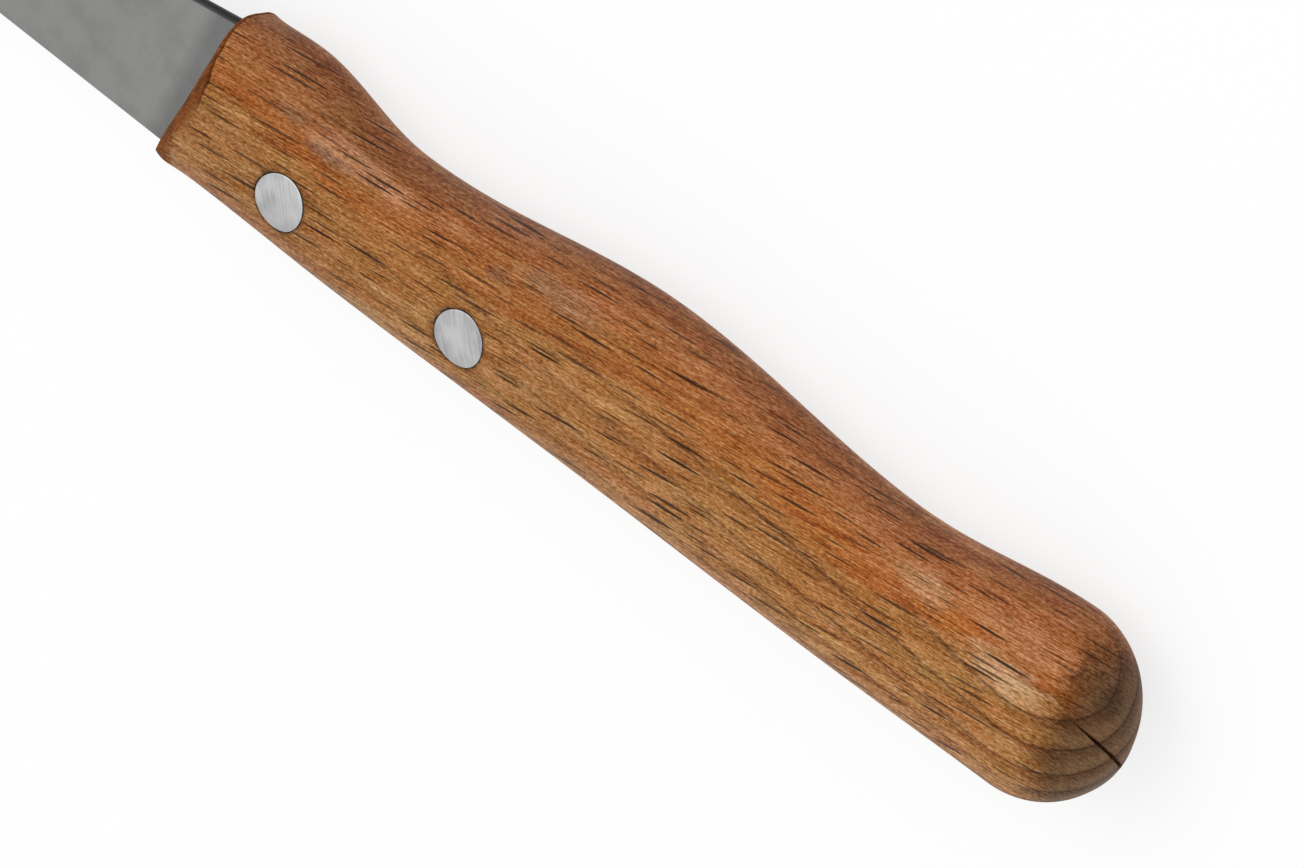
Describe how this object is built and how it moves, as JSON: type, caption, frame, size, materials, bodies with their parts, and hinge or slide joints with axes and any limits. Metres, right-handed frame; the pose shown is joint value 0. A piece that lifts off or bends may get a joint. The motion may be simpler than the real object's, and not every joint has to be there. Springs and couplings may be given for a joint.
{
  "type": "paring knife",
  "caption": "Small kitchen knife: a tapering straight-edged blade riveted by its tang into a contoured one-piece wooden handle with flush round rivets and a rounded butt.",
  "frame": {"origin": "Middle of the bounding box in X and Y, at the lowest point in Z: the knife lies on its side on the plane Z = 0.", "axes": "X runs along the knife, from the blade's tip at -X to the butt of the handle at +X. Y runs across it, from the cutting edge and the straight underside at -Y to the contoured back at +Y. Z is the thickness, up through the side that the picture shows."},
  "size_m": [0.1774, 0.0176, 0.0124],
  "materials": {
    "blade_steel": "satin ground, fine grinding lines",
    "oiled_beech": "sanded and oiled, warm brown with dark ray flecks",
    "rivet_aluminium": "sanded flush, satin"
  },
  "bodies": {
    "root": {"blade": "blade_steel", "handle": "oiled_beech", "front_rivet": "rivet_aluminium", "rear_rivet": "rivet_aluminium"}
  },
  "joints": []
}
